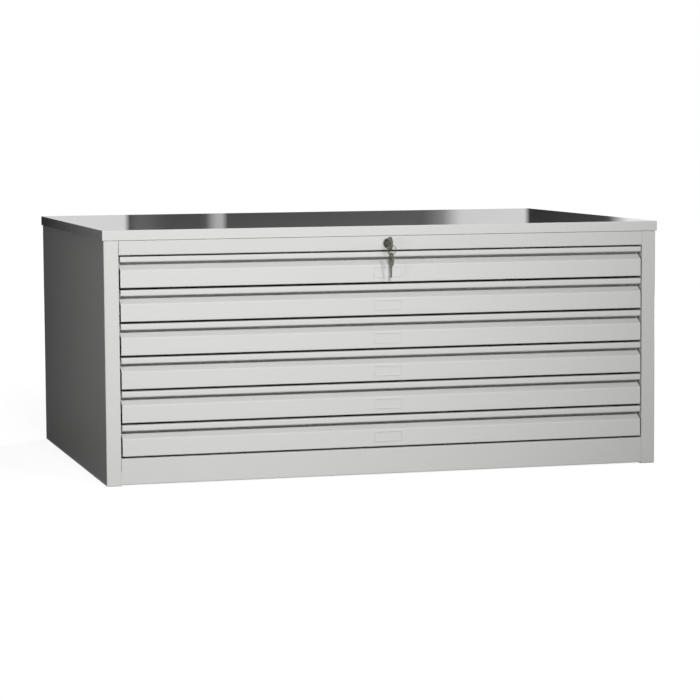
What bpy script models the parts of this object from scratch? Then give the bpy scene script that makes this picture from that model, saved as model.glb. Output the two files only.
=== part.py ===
"""Flat file cabinet: a folded sheet steel chest with six shallow drawers on roller runners.

Metres, +Z up, front towards -Y. The cabinet stands on its side panels, with the middle of its
footprint, keys included, at the origin. Run it with blender --background --python part.py.
"""

import math

import bmesh
import bpy
from mathutils import Matrix, Vector

# Driving sizes of the whole cabinet
drawer_count = 6
cabinet_width = 1.0
cabinet_depth = 0.690
post_width = 0.0257
plinth_relief = 0.002
plinth_height = 0.045
plinth_gap = 0.0032
drawer_gap = 0.0038
rail_gap = 0.0026
face_height = 0.0536
rail_height = 0.0256
cover_edge = 0.017

# Clearances, how far a cutter runs past what it cuts, and how close points are joined
seat_gap = 0.0003
slide_gap = 0.004
overrun = 0.01
merge_distance = 0.00001

# Sheet steel
cover_sheet = 0.0012
frame_sheet = 0.0012
drawer_sheet = 0.001
fold_radius = 0.0016
fold_steps = 2
fold_angle = math.radians(30)

# Carcass
cover_clearance = 0.0012
post_return = 0.04
return_relief = 0.006
plinth_return = 0.02
rail_return = 0.032
rear_rail_depth = 0.012
shelf_edge = 0.02
back_lap = 0.006
back_edge = 0.01
back_rise = 0.003
upright_width = 0.04

# Drawer front, folded from one sheet
face_side_gap = 0.0024
flat_height = 0.0300
groove_depth = 0.016
groove_rise = 0.0093
lip_height = 0.0104
top_relief = 0.001
lip_return = 0.004
front_return = 0.014

# Drawer pan
pan_lift = 0.003
pan_height = 0.038
pan_rim = 0.008
side_space = 0.013

# Card holder on each drawer front
holder_width = 0.050
holder_height = 0.018
holder_rim = 0.002
holder_thickness = 0.0012
holder_rise = 0.0086

# Runners
channel_height = 0.026
channel_lip = 0.0088
runner_sheet = 0.0012
runner_inset = 0.0033
channel_extra = 0.015
runner_lift = 0.018
runner_web = 0.016
flange_gap = 0.0038
roller_inset = 0.014
roller_gap = 0.0015
roller_relief = 0.0023
axle_radius = 0.002
roller_chamfer_share = 1 / 8
roller_steps = 16

# Lock in the top rail
lock_rise = 0.0121
head_radius = 0.009
head_thickness = 0.0025
head_chamfer = 0.0006
barrel_radius = 0.007
barrel_length = 0.02
plug_radius = 0.005
nut_thickness = 0.004
nut_wall = 0.0017
round_steps = 32
lock_turn = math.radians(90)
cam_thickness = 0.0025
cam_hub_radius = 0.007
cam_reach = 0.012
cam_end_radius = 0.004
tail_width = 0.005
drive_pin_radius = 0.002
drive_pin_length = 0.006

# Locking bar behind the drawers, with its fork round the cam's pin and a stud for each drawer's catch
bar_thickness = 0.003
arm_height = 0.01
leg_width = 0.0105
leg_foot = 0.008
fork_wall = 0.004
fork_thickness = 0.006
fork_play = 0.0006
stud_radius = 0.0025
stud_lift = 0.0285
stud_gap = 0.004
catch_lift = 0.035
catch_drop = 0.010
catch_width = 0.012

# Keys and their ring
bow_radius = 0.012
bow_hole_radius = 0.0036
bow_rim = 0.0024
key_thickness = 0.0025
collar_length = 0.003
collar_half = 0.0045
blade_length = 0.016
blade_half = 0.0032
blade_tip = 0.0015
cut_depth = 0.0014
cut_depth_shares = (1.0, 0.45, 0.8, 0.3)
ring_radius = 0.008
ring_wire = 0.0007
ring_steps = 32
wire_steps = 8

# Faces of the body, seen from the front face of the top cover
cover_step = cover_sheet + cover_clearance
body_half = cabinet_width / 2 - cover_step
opening_half = body_half - post_width
body_front = cover_step
body_back = cabinet_depth - cover_step
inner_half = opening_half - seat_gap

# Levels above the floor
plinth_top = plinth_relief + plinth_height
drawer_pitch = face_height + drawer_gap
front_top = plinth_top + plinth_gap + drawer_count * drawer_pitch - drawer_gap - top_relief
opening_top = front_top + rail_gap
cabinet_height = opening_top + rail_height + cover_edge
carcass_top = cabinet_height - cover_sheet - seat_gap
shelf_top = plinth_top - frame_sheet - seat_gap
lock_height = opening_top + lock_rise

# Depths of what is behind the drawer fronts
back_inside = body_back - frame_sheet - seat_gap - frame_sheet
rear_rail_back = back_inside - seat_gap
pan_front = body_front + groove_depth + drawer_sheet + seat_gap
leg_back = rear_rail_back - rear_rail_depth - seat_gap
leg_front = leg_back - leg_width
leg_middle = (leg_front + leg_back) / 2
catch_face = leg_middle + stud_radius + slide_gap
pan_back = leg_front - slide_gap
runner_start = pan_front + runner_inset

# Widths of the runners, measured from the middle of the cabinet
pan_half = opening_half - side_space
member_inside = pan_half + seat_gap
member_outside = opening_half - seat_gap
flange_reach = member_outside - runner_sheet - roller_gap

# Places on the lock's axis, from front to back
head_back = body_front - seat_gap
head_front = head_back - head_thickness
plug_back = head_back + barrel_length + seat_gap
cam_front = plug_back + seat_gap
cam_back = cam_front + cam_thickness
fork_front = cam_back + seat_gap
key_stop = head_front - seat_gap
bow_middle = key_stop - collar_length - bow_radius
hole_offset = bow_radius - bow_rim - bow_hole_radius
hole_place = bow_middle - hole_offset
rest_angle = -lock_turn / 2
pin_side = cam_reach * math.sin(rest_angle)
pin_rise = cam_reach * math.cos(rest_angle)
bar_travel = -2 * pin_side
stud_end = pin_side + bar_thickness / 2 + bar_travel + stud_gap
catch_side = stud_end + stud_gap

# The ring hangs in the key's hole, and the spare key hangs on the ring
rim_top = lock_height - bow_hole_radius
rim_bottom = lock_height - math.sqrt(bow_radius**2 - hole_offset**2)
rim_middle = (rim_top + rim_bottom) / 2
ring_middle = rim_top + seat_gap + ring_wire - ring_radius
ring_bottom = ring_middle - ring_radius

# The origin is under the middle of the whole, from the spare key's bow to the back
front_reach = hole_place - bow_radius
cabinet_shift = -(front_reach + cabinet_depth) / 2

runner_sides = {"left": -1, "right": 1}


def clear_scene():
    """An empty scene with one collection for the parts and one for the cutters."""
    for old in list(bpy.data.objects):
        bpy.data.objects.remove(old)
    made = []
    for name in ("flat_file_cabinet", "cutters"):
        collection = bpy.data.collections.new(name)
        bpy.context.scene.collection.children.link(collection)
        made.append(collection)
    return made


parts, cutters = clear_scene()


def material(name, colour, roughness, metallic):
    """A Principled BSDF of one colour."""
    made = bpy.data.materials.new(name)
    made.use_nodes = True
    shader = made.node_tree.nodes["Principled BSDF"]
    shader.inputs["Base Color"].default_value = (*colour, 1.0)
    shader.inputs["Roughness"].default_value = roughness
    shader.inputs["Metallic"].default_value = metallic
    return made


cover_paint = material("cover_paint", (0.62, 0.62, 0.61), 0.35, 0.0)
frame_paint = material("frame_paint", (0.62, 0.62, 0.61), 0.42, 0.0)
drawer_paint = material("drawer_paint", (0.64, 0.64, 0.63), 0.42, 0.0)
runner_zinc = material("runner_zinc", (0.55, 0.56, 0.58), 0.4, 1.0)
lock_nickel = material("lock_nickel", (0.70, 0.69, 0.66), 0.25, 1.0)
key_nickel = material("key_nickel", (0.48, 0.47, 0.42), 0.35, 1.0)
linkage_zinc = material("linkage_zinc", (0.50, 0.51, 0.53), 0.45, 1.0)


def joint_empty(name, place, parent=None):
    """An empty on a joint's axis, which carries the pieces that move there."""
    empty = bpy.data.objects.new(name, None)
    empty.location = place
    empty.parent = parent
    parts.objects.link(empty)
    return empty


cabinet = joint_empty("cabinet", (0, cabinet_shift, 0))


def add_part(name, mesh, finish, parent=cabinet):
    """A named sub-part, whose mesh is written in its parent's frame."""
    made = bpy.data.objects.new(name, mesh)
    made.parent = parent
    parts.objects.link(made)
    if not mesh.materials:
        mesh.materials.append(finish)
    return made


def bmesh_to_mesh(bm, name):
    mesh = bpy.data.meshes.new(name)
    bm.to_mesh(mesh)
    bm.free()
    return mesh


def fold_and_thicken(made, sheet):
    """Rounds the folds of an open surface, and gives it the thickness of its sheet on its hidden side."""
    bend = made.modifiers.new("bends", "BEVEL")
    bend.width = fold_radius
    bend.segments = fold_steps
    bend.limit_method = "ANGLE"
    bend.angle_limit = fold_angle
    bend.use_clamp_overlap = True
    wall = made.modifiers.new("sheet", "SOLIDIFY")
    wall.thickness = sheet
    wall.offset = -1
    wall.use_even_offset = True


def finished_mesh(made):
    """The object's evaluated mesh as plain data, with the object removed."""
    bpy.context.view_layer.update()
    graph = bpy.context.evaluated_depsgraph_get()
    mesh = bpy.data.meshes.new_from_object(made.evaluated_get(graph))
    mesh.name = made.name
    mesh.transform(made.matrix_world)
    bpy.data.objects.remove(made)
    return mesh


def cutter(name, mesh):
    """A shape that is cut from a part, or joined to it, and isn't a part itself."""
    made = bpy.data.objects.new(name, mesh)
    made.display_type = "WIRE"
    made.hide_render = True
    cutters.objects.link(made)
    return made


def combine(made, operation, others):
    """Cuts or joins the meshes in others, and gives back the result as one mesh."""
    used = []
    for number, mesh in enumerate(others):
        tool = cutter(f"{made.name}_{operation.lower()}_{number}", mesh)
        step = made.modifiers.new(tool.name, "BOOLEAN")
        step.operation = operation
        step.solver = "EXACT"
        step.object = tool
        used.append(tool)
    mesh = finished_mesh(made)
    for tool in used:
        bpy.data.objects.remove(tool)
    return mesh


def box_bmesh(low, high):
    """A box between two corners."""
    low = Vector(low)
    high = Vector(high)
    bm = bmesh.new()
    bmesh.ops.create_cube(bm, size=1)
    bmesh.ops.scale(bm, vec=high - low, verts=bm.verts)
    bmesh.ops.translate(bm, vec=(low + high) / 2, verts=bm.verts)
    return bm


def faces_towards(bm, direction):
    return [face for face in bm.faces if face.normal.dot(Vector(direction)) > math.cos(fold_angle)]


def tray_bmesh(low, high, open_side):
    """A box without the face on its open side."""
    bm = box_bmesh(low, high)
    bm.normal_update()
    bmesh.ops.delete(bm, geom=faces_towards(bm, open_side), context="FACES")
    return bm


def folded_mesh(name, profile, along, start, end, visible, sheet):
    """A sheet folded along straight lines: an open profile, run from start to end along X, Y or Z.

    The profile's points are (y, z), (x, z) or (x, y). visible is where its first face looks, and the
    sheet's thickness goes the other way.
    """
    bm = bmesh.new()
    if along == "X":
        path = [Vector((start, u, v)) for u, v in profile]
        run = Vector((end - start, 0, 0))
    elif along == "Y":
        path = [Vector((u, start, v)) for u, v in profile]
        run = Vector((0, end - start, 0))
    else:
        path = [Vector((u, v, start)) for u, v in profile]
        run = Vector((0, 0, end - start))
    verts = [bm.verts.new(point) for point in path]
    edges = [bm.edges.new(pair) for pair in zip(verts, verts[1:])]
    pulled = bmesh.ops.extrude_edge_only(bm, edges=edges)["geom"]
    bmesh.ops.translate(bm, vec=run, verts=[v for v in pulled if isinstance(v, bmesh.types.BMVert)])
    bmesh.ops.recalc_face_normals(bm, faces=bm.faces)
    first = next(face for face in bm.faces if verts[0] in face.verts)
    if first.normal.dot(Vector(visible)) < 0:
        bmesh.ops.reverse_faces(bm, faces=bm.faces)
    made = cutter(name, bmesh_to_mesh(bm, name))
    fold_and_thicken(made, sheet)
    return finished_mesh(made)


def turned_mesh(name, profile, turn, place, steps=round_steps):
    """A turned piece. The profile runs from top to bottom, as (radius, height), and turn aims its axis."""
    mesh = bpy.data.meshes.new(name)
    closed = profile[0] == profile[-1]
    rows = profile[:-1] if closed else profile
    edges = [(n, (n + 1) % len(rows)) for n in range(len(rows) if closed else len(rows) - 1)]
    mesh.from_pydata([(radius, 0, height) for radius, height in rows], edges, [])
    made = cutter(name, mesh)
    made.rotation_euler = turn
    made.location = place
    screw = made.modifiers.new("turned", "SCREW")
    screw.steps = steps
    screw.render_steps = steps
    screw.use_merge_vertices = True
    screw.merge_threshold = merge_distance
    return finished_mesh(made)


def outline_mesh(name, outlines, thickness, turn, place):
    """A flat piece cut from plate: closed outlines, the later ones as holes in the first."""
    curve = bpy.data.curves.new(name, "CURVE")
    curve.dimensions = "2D"
    curve.fill_mode = "BOTH"
    curve.extrude = thickness / 2
    for points in outlines:
        spline = curve.splines.new("POLY")
        spline.points.add(len(points) - 1)
        for point, (u, v) in zip(spline.points, points):
            point.co = (u, v, 0, 1)
        spline.use_cyclic_u = True
    made = cutter(name, curve)
    made.rotation_euler = turn
    made.location = place
    mesh = finished_mesh(made)
    bm = bmesh.new()
    bm.from_mesh(mesh)
    bmesh.ops.remove_doubles(bm, verts=bm.verts, dist=merge_distance)
    bmesh.ops.recalc_face_normals(bm, faces=bm.faces)
    bm.to_mesh(mesh)
    bm.free()
    return mesh


def arc(middle, radius, start, end, steps):
    """Points on an arc, both ends included."""
    turns = [start + (end - start) * n / steps for n in range(steps + 1)]
    return [(middle[0] + radius * math.cos(a), middle[1] + radius * math.sin(a)) for a in turns]


def circle(middle, radius, steps):
    return arc(middle, radius, 0, math.tau, steps)[:-1]


def rectangle(low, high):
    return [low, (high[0], low[1]), high, (low[0], high[1])]


# Turns that stand a flat outline up, or lay a turned piece along an axis
facing_front = (math.radians(90), 0, 0)
facing_side = (math.radians(90), 0, math.radians(90))
hanging_side = (0, math.radians(90), 0)


def top_cover():
    """A lid whose skirt runs over the body, with a narrow gap to it all round."""
    bm = tray_bmesh(
        (-cabinet_width / 2, 0, cabinet_height - cover_edge),
        (cabinet_width / 2, cabinet_depth, cabinet_height),
        (0, 0, -1),
    )
    made = add_part("top_cover", bmesh_to_mesh(bm, "top_cover"), cover_paint)
    fold_and_thicken(made, cover_sheet)


def side_panel(name, side):
    """A side with its front post, rear, top and bottom edges folded inwards, and the post folded back."""
    bm = tray_bmesh(
        (min(side * opening_half, side * body_half), body_front, 0),
        (max(side * opening_half, side * body_half), body_back, carcass_top),
        (-side, 0, 0),
    )
    for level in (return_relief, carcass_top - return_relief):
        everything = bm.verts[:] + bm.edges[:] + bm.faces[:]
        bmesh.ops.bisect_plane(bm, geom=everything, plane_co=(0, 0, level), plane_no=(0, 0, 1))
    bm.edges.ensure_lookup_table()

    def is_post_edge(edge):
        middle = (edge.verts[0].co + edge.verts[1].co) / 2
        at_post = abs(middle.y - body_front) < seat_gap
        between = return_relief < middle.z < carcass_top - return_relief
        return edge.is_boundary and at_post and between

    post_edge = [edge for edge in bm.edges if is_post_edge(edge)]
    pulled = bmesh.ops.extrude_edge_only(bm, edges=post_edge)["geom"]
    new_verts = [item for item in pulled if isinstance(item, bmesh.types.BMVert)]
    bmesh.ops.translate(bm, vec=(0, post_return, 0), verts=new_verts)
    made = add_part(name, bmesh_to_mesh(bm, name), frame_paint)
    fold_and_thicken(made, frame_sheet)


def back_panel():
    """A sheet inside the side panels' rear edges, folded forward at its own two sides."""
    half = opening_half + back_lap
    outside = body_back - frame_sheet - seat_gap
    profile = [(-half, outside - back_edge), (-half, outside), (half, outside), (half, outside - back_edge)]
    low = frame_sheet + back_rise
    high = carcass_top - frame_sheet - back_rise
    mesh = folded_mesh("back_panel", profile, "Z", low, high, (-1, 0, 0), frame_sheet)
    add_part("back_panel", mesh, frame_paint)


def bottom_panel():
    """A shelf under the plinth's top edge, with its own edges folded down."""
    bm = tray_bmesh(
        (-inner_half, body_front + frame_sheet + seat_gap, shelf_top - shelf_edge),
        (inner_half, back_inside - seat_gap, shelf_top),
        (0, 0, -1),
    )
    made = add_part("bottom_panel", bmesh_to_mesh(bm, "bottom_panel"), frame_paint)
    fold_and_thicken(made, frame_sheet)


def rail(name, front, depth, low, high, cuts=()):
    """A channel across the front of the cabinet, open to the back."""
    profile = [(front + depth, low), (front, low), (front, high), (front + depth, high)]
    mesh = folded_mesh(name, profile, "X", -inner_half, inner_half, (0, 0, -1), frame_sheet)
    if cuts:
        mesh = combine(cutter(name, mesh), "DIFFERENCE", cuts)
    add_part(name, mesh, frame_paint)


def lock_hole():
    """The hole in the top rail for the barrel of the lock."""
    reach = frame_sheet + overrun
    profile = [(0, reach), (barrel_radius + seat_gap, reach), (barrel_radius + seat_gap, -reach), (0, -reach)]
    return turned_mesh("lock_hole", profile, facing_front, (0, body_front, lock_height))


def rear_rail():
    """A channel across the back under the cover, open to the front. The locking bar runs along it."""
    front = rear_rail_back - rear_rail_depth
    profile = [
        (front, opening_top),
        (rear_rail_back, opening_top),
        (rear_rail_back, carcass_top),
        (front, carcass_top),
    ]
    mesh = folded_mesh("rear_rail", profile, "X", -inner_half, inner_half, (0, 0, -1), frame_sheet)
    add_part("rear_rail", mesh, frame_paint)


def rear_upright(name, side):
    """A channel from the bottom to the top edge of a side panel, which carries the runners' rear ends."""
    outside = side * (body_half - frame_sheet - seat_gap)
    inside = side * opening_half
    back = pan_back
    front = back - upright_width
    profile = [(outside, front), (inside, front), (inside, back), (outside, back)]
    low = frame_sheet + seat_gap
    high = carcass_top - frame_sheet - seat_gap
    mesh = folded_mesh(name, profile, "Z", low, high, (0, -1, 0), frame_sheet)
    add_part(name, mesh, frame_paint)


def carcass():
    top_cover()
    for name, side in runner_sides.items():
        side_panel(f"{name}_side_panel", side)
        rear_upright(f"{name}_rear_upright", side)
    back_panel()
    bottom_panel()
    rail("plinth", body_front, plinth_return, plinth_relief, plinth_top)
    rail("top_rail", body_front, rail_return, opening_top, carcass_top, [lock_hole()])
    rear_rail()


def face_bottom(number):
    """The lower edge of a drawer's front. Number 1 is the top drawer."""
    return plinth_top + plinth_gap + (drawer_count - number) * drawer_pitch


def front_height(number):
    """The height of a drawer's front. The top drawer's lip is lower, to clear the rail's fold."""
    return face_height - top_relief if number == 1 else face_height


def front_profile(number):
    """The drawer front's folds, as the side of the sheet that shows: the finger groove's inside."""
    low = face_bottom(number)
    front = body_front
    inner = front + drawer_sheet
    deep = front + groove_depth
    ceiling = low + front_height(number) - drawer_sheet
    lip_bottom = low + face_height - lip_height + drawer_sheet
    return [
        (front + front_return, low),
        (front, low),
        (front, low + flat_height),
        (deep, low + flat_height + groove_rise),
        (deep, ceiling),
        (inner, ceiling),
        (inner, lip_bottom),
        (inner + lip_return, lip_bottom),
    ]


def drawer_front(number, parent):
    """One folded sheet: flat face, sloping groove, top fold and the lip that the fingers pull."""
    half = opening_half - face_side_gap
    name = f"drawer_{number}_front"
    profile = front_profile(number)
    mesh = folded_mesh(name, profile, "X", -half, half, (0, 0, -1), drawer_sheet)
    add_part(name, mesh, drawer_paint, parent)


def catch_mesh(low):
    """The bent tab on the back of a pan that the locking bar's stud slides into."""
    top = low + catch_lift
    root = pan_back - drawer_sheet / 2
    outside = catch_face + drawer_sheet
    profile = [(root, top), (outside, top), (outside, top - catch_drop)]
    return folded_mesh("catch", profile, "X", catch_side, catch_side + catch_width, (0, 0, 1), drawer_sheet)


def drawer_pan(number, parent):
    """A folded tray whose top edges turn inwards, with the catch joined to its back wall."""
    low = face_bottom(number)
    name = f"drawer_{number}_pan"
    bottom = low + pan_lift
    bm = tray_bmesh((-pan_half, pan_front, bottom), (pan_half, pan_back, bottom + pan_height), (0, 0, 1))
    brim = [edge for edge in bm.edges if edge.is_boundary]
    pulled = bmesh.ops.extrude_edge_only(bm, edges=brim)["geom"]
    middle = (pan_front + pan_back) / 2
    for item in pulled:
        if isinstance(item, bmesh.types.BMVert):
            item.co.x -= math.copysign(pan_rim, item.co.x)
            item.co.y -= math.copysign(pan_rim, item.co.y - middle)
    made = cutter(name, bmesh_to_mesh(bm, name))
    fold_and_thicken(made, drawer_sheet)
    mesh = combine(made, "UNION", [catch_mesh(low)])
    add_part(name, mesh, drawer_paint, parent)


def label_holder(number, parent):
    """A stamped frame that holds a paper card, in the middle of the flat face."""
    name = f"drawer_{number}_label_holder"
    low = face_bottom(number) + holder_rise
    half = holder_width / 2
    outside = rectangle((-half, 0), (half, holder_height))
    window = rectangle((holder_rim - half, holder_rim), (half - holder_rim, holder_height - holder_rim))
    middle = body_front - seat_gap - holder_thickness / 2
    mesh = outline_mesh(name, [outside, window], holder_thickness, facing_front, (0, middle, low))
    add_part(name, mesh, drawer_paint, parent)


def roller_mesh(middle, side, inside, outside, root, radius):
    """A roller on its axle. The axle starts in the middle of the sheet that carries it, at root."""
    near, far = sorted((inside, outside))
    away = far if abs(root - near) < abs(root - far) else near
    toward = near if away == far else far
    lean = math.copysign(1, away - root)
    heights = [lean * (away - root), lean * (toward - root)]
    chamfer = radius - (radius - axle_radius) * roller_chamfer_share
    profile = [
        (0, heights[0]),
        (chamfer, heights[0]),
        (radius, heights[0] - (radius - chamfer)),
        (radius, heights[1] + (radius - chamfer)),
        (chamfer, heights[1]),
        (axle_radius, heights[1]),
        (axle_radius, 0),
        (0, 0),
    ]
    turn = (0, lean * side * math.radians(90), 0)
    return turned_mesh("roller", profile, turn, (side * root, *middle), roller_steps)


def channel_levels(number):
    """The bottom and top of a cabinet runner, and the underside of the flange that rolls in it."""
    low = face_bottom(number) + pan_lift + runner_lift - channel_height / 2
    high = low + channel_height
    flange_top = high - runner_sheet - flange_gap
    return low, high, flange_top - runner_sheet


def cabinet_runner(number, side_name, side):
    """A channel fixed to the post and the rear upright, with a roller near its front end."""
    low, high, flange_under = channel_levels(number)
    outside = member_outside
    inside = outside - channel_lip
    profile = [(side * u, v) for u, v in ((inside, low), (outside, low), (outside, high), (inside, high))]
    start = runner_start
    end = pan_back + channel_extra
    name = f"cabinet_{number}_{side_name}_runner"
    mesh = folded_mesh(name, profile, "Y", start, end, (0, 0, -1), runner_sheet)
    track = low + runner_sheet + seat_gap
    radius = (flange_under - seat_gap - track) / 2
    middle = (start + roller_inset, track + radius)
    web = outside - runner_sheet
    roller = roller_mesh(
        middle, side, web - roller_gap, inside + roller_gap, outside - runner_sheet / 2, radius
    )
    add_part(name, combine(cutter(name, mesh), "UNION", [roller]), runner_zinc)


def drawer_runner(number, side_name, side, parent):
    """An angle on the pan's side. Its flange rolls on the front roller, and its own roller in the channel."""
    low, _, flange_under = channel_levels(number)
    top = flange_under + runner_sheet
    inside = member_inside
    profile = [(side * u, v) for u, v in ((inside, top - runner_web), (inside, top), (flange_reach, top))]
    start = runner_start
    end = pan_back
    name = f"drawer_{number}_{side_name}_runner"
    mesh = folded_mesh(name, profile, "Y", start, end, (-side, 0, 0), runner_sheet)
    track = low + runner_sheet + seat_gap
    radius = (flange_under - roller_relief - track) / 2
    middle = (end - roller_inset, track + radius)
    channel_inside = member_outside - channel_lip
    roller = roller_mesh(
        middle, side, channel_inside + seat_gap, flange_reach, inside + runner_sheet / 2, radius
    )
    add_part(name, combine(cutter(name, mesh), "UNION", [roller]), runner_zinc, parent)


def drawers():
    for number in range(1, drawer_count + 1):
        slide = joint_empty(f"drawer_{number}_slide", (0, 0, 0), cabinet)
        drawer_front(number, slide)
        drawer_pan(number, slide)
        label_holder(number, slide)
        for side_name, side in runner_sides.items():
            drawer_runner(number, side_name, side, slide)
            cabinet_runner(number, side_name, side)


def lock_housing():
    """The round head in front of the rail, and the barrel that runs through it."""
    bore = plug_radius + seat_gap
    profile = [
        (bore, head_thickness),
        (head_radius - head_chamfer, head_thickness),
        (head_radius, head_thickness - head_chamfer),
        (head_radius, 0),
        (barrel_radius, 0),
        (barrel_radius, -barrel_length),
        (bore, -barrel_length),
        (bore, head_thickness),
    ]
    mesh = turned_mesh("lock_housing", profile, facing_front, (0, head_back, lock_height))
    add_part("lock_housing", mesh, lock_nickel)


def lock_nut():
    """A hexagon nut on the barrel that pulls the head against the rail."""
    flat = barrel_radius + seat_gap + nut_wall
    corner = flat / math.cos(math.pi / 6)
    hexagon = arc((0, 0), corner, 0, math.tau * 5 / 6, 5)
    bore = circle((0, 0), barrel_radius + seat_gap, round_steps)
    middle = body_front + frame_sheet + seat_gap + nut_thickness / 2
    mesh = outline_mesh("lock_nut", [hexagon, bore], nut_thickness, facing_front, (0, middle, lock_height))
    add_part("lock_nut", mesh, lock_nickel)


def lock_plug(parent):
    """The part of the lock that the key turns, with its keyway and the square tail that turns the cam."""
    length = plug_back - head_front
    profile = [(0, 0), (plug_radius, 0), (plug_radius, -length), (0, -length)]
    mesh = turned_mesh("lock_plug", profile, facing_front, (0, head_front, lock_height))
    half = tail_width / 2
    tail = box_bmesh(
        (-half, plug_back - overrun / 2, lock_height - half),
        (half, cam_back, lock_height + half),
    )
    mesh = combine(cutter("lock_plug", mesh), "UNION", [bmesh_to_mesh(tail, "tail")])
    slot_side = key_thickness / 2 + seat_gap
    slot_half = blade_half + seat_gap
    keyway = box_bmesh(
        (-slot_side, head_front - overrun, lock_height - slot_half),
        (slot_side, key_stop + blade_length + seat_gap, lock_height + slot_half),
    )
    mesh = combine(cutter("lock_plug", mesh), "DIFFERENCE", [bmesh_to_mesh(keyway, "keyway")])
    place_on_axis("lock_plug", mesh, lock_nickel, parent)


def place_on_axis(name, mesh, finish, parent):
    """Adds a part under an empty on a joint's axis, with its mesh moved to the empty's own frame."""
    place = Vector((0, 0, 0))
    holder = parent
    while holder is not cabinet:
        place += holder.location
        holder = holder.parent
    mesh.transform(Matrix.Translation(-place))
    add_part(name, mesh, finish, parent)


def lock_cam(parent):
    """A plate on the plug's tail, whose pin drives the locking bar. At rest it leans to the left."""
    lean = math.pi / 2 - rest_angle
    end = (cam_reach * math.cos(lean), cam_reach * math.sin(lean))
    taper = math.acos((cam_hub_radius - cam_end_radius) / cam_reach)
    steps = roller_steps // 2
    outside = arc((0, 0), cam_hub_radius, lean + taper, lean - taper + math.tau, steps)
    outside += arc(end, cam_end_radius, lean - taper, lean + taper, steps)
    half = tail_width / 2 + seat_gap
    hole = rectangle((-half, -half), (half, half))
    middle = (cam_front + cam_back) / 2
    mesh = outline_mesh("lock_cam", [outside, hole], cam_thickness, facing_front, (0, middle, lock_height))
    length = cam_back - middle + drive_pin_length
    profile = [(0, 0), (drive_pin_radius, 0), (drive_pin_radius, -length), (0, -length)]
    place = (pin_side, middle, lock_height + pin_rise)
    pin = turned_mesh("drive_pin", profile, facing_front, place, roller_steps)
    mesh = combine(cutter("lock_cam", mesh), "UNION", [pin])
    place_on_axis("lock_cam", mesh, linkage_zinc, parent)


def stud_mesh(number):
    """A round stud riveted to the locking bar, which slides in front of the drawer's catch."""
    length = stud_end - pin_side
    profile = [(0, length), (stud_radius, length), (stud_radius, 0), (0, 0)]
    place = (pin_side, leg_middle, face_bottom(number) + stud_lift)
    return turned_mesh("stud", profile, hanging_side, place, roller_steps)


def locking_bar(parent):
    """A flat bar with a fork round the cam's pin. It slides sideways, its studs into all the catches."""
    low = opening_top + frame_sheet + seat_gap
    arm_low = low + seat_gap
    arm_high = arm_low + arm_height
    fork_middle = fork_front + fork_thickness / 2
    foot = face_bottom(drawer_count) + stud_lift - leg_foot
    outline = [(fork_middle, arm_low), (leg_front, arm_low), (leg_front, foot), (leg_back, foot)]
    outline += [(leg_back, arm_high), (fork_middle, arm_high)]
    mesh = outline_mesh("locking_bar", [outline], bar_thickness, facing_side, (pin_side, 0, 0))
    slot = drive_pin_radius + fork_play
    half = slot + fork_wall
    floor = lock_height + pin_rise - slot
    top = lock_height + cam_reach + slot
    fork = [(-half, low), (half, low), (half, top), (slot, top), (slot, floor)]
    fork += [(-slot, floor), (-slot, top), (-half, top)]
    fork_part = outline_mesh("fork", [fork], fork_thickness, facing_front, (pin_side, fork_middle, 0))
    studs = [stud_mesh(number) for number in range(1, drawer_count + 1)]
    mesh = combine(cutter("locking_bar", mesh), "UNION", [fork_part, *studs])
    place_on_axis("locking_bar", mesh, linkage_zinc, parent)


def key_mesh(name, turn, place):
    """A key cut from flat plate, with its hole at the outline's origin: bow, collar and toothed blade."""
    middle = (hole_offset, 0)
    neck = math.asin(collar_half / bow_radius)
    points = arc(middle, bow_radius, neck, math.tau - neck, round_steps)
    shoulder = hole_offset + bow_radius + collar_length
    tip = shoulder + blade_length
    points += [(shoulder, -collar_half), (shoulder, -blade_half), (tip - blade_tip, -blade_half)]
    points += [(tip, blade_tip - blade_half), (tip, blade_half - blade_tip), (tip - blade_tip, blade_half)]
    pitch = (blade_length - 2 * blade_tip) / len(cut_depth_shares)
    start = tip - blade_tip
    for number, share in enumerate(cut_depth_shares):
        points.append((start - (number + 1 / 2) * pitch, blade_half - share * cut_depth))
        points.append((start - (number + 1) * pitch, blade_half))
    points += [(shoulder, blade_half), (shoulder, collar_half)]
    hole = circle((0, 0), bow_hole_radius, round_steps)
    return outline_mesh(name, [points, hole], key_thickness, turn, place)


def key_ring(parent):
    """A ring of round wire that hangs in the key's hole."""
    bpy.ops.mesh.primitive_torus_add(
        major_radius=ring_radius,
        minor_radius=ring_wire,
        major_segments=ring_steps,
        minor_segments=wire_steps,
        location=(0, hole_place, ring_middle),
        rotation=facing_front,
    )
    made = bpy.context.object
    made.name = "ring"
    place_on_axis("key_ring", finished_mesh(made), key_nickel, parent)


def lock_and_keys():
    lock_housing()
    lock_nut()
    turning = joint_empty("lock_turn", (0, 0, lock_height), cabinet)
    lock_plug(turning)
    lock_cam(turning)
    key = key_mesh("key", facing_side, (0, hole_place, lock_height))
    place_on_axis("key", key, key_nickel, turning)
    sliding = joint_empty("locking_bar_slide", (pin_side, 0, lock_height), cabinet)
    locking_bar(sliding)
    ring_turn = joint_empty("key_ring_turn", (0, hole_place, rim_middle), cabinet)
    key_ring(ring_turn)
    swinging = joint_empty("spare_key_swing", (0, hole_place, ring_bottom), cabinet)
    wire_top = ring_bottom + ring_wire + seat_gap
    spare = key_mesh("spare_key", hanging_side, (0, hole_place, wire_top - bow_hole_radius))
    place_on_axis("spare_key", spare, key_nickel, swinging)


carcass()
drawers()
lock_and_keys()
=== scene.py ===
"""A low plan chest of painted sheet steel, with six shallow drawers, its lock and its two keys.

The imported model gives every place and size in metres, +Z up, with the front towards -Y. The file follows
the chest as it is put together: cover, carcass, drawers, card holders, runners, lock, keys.
"""

import math

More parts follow.
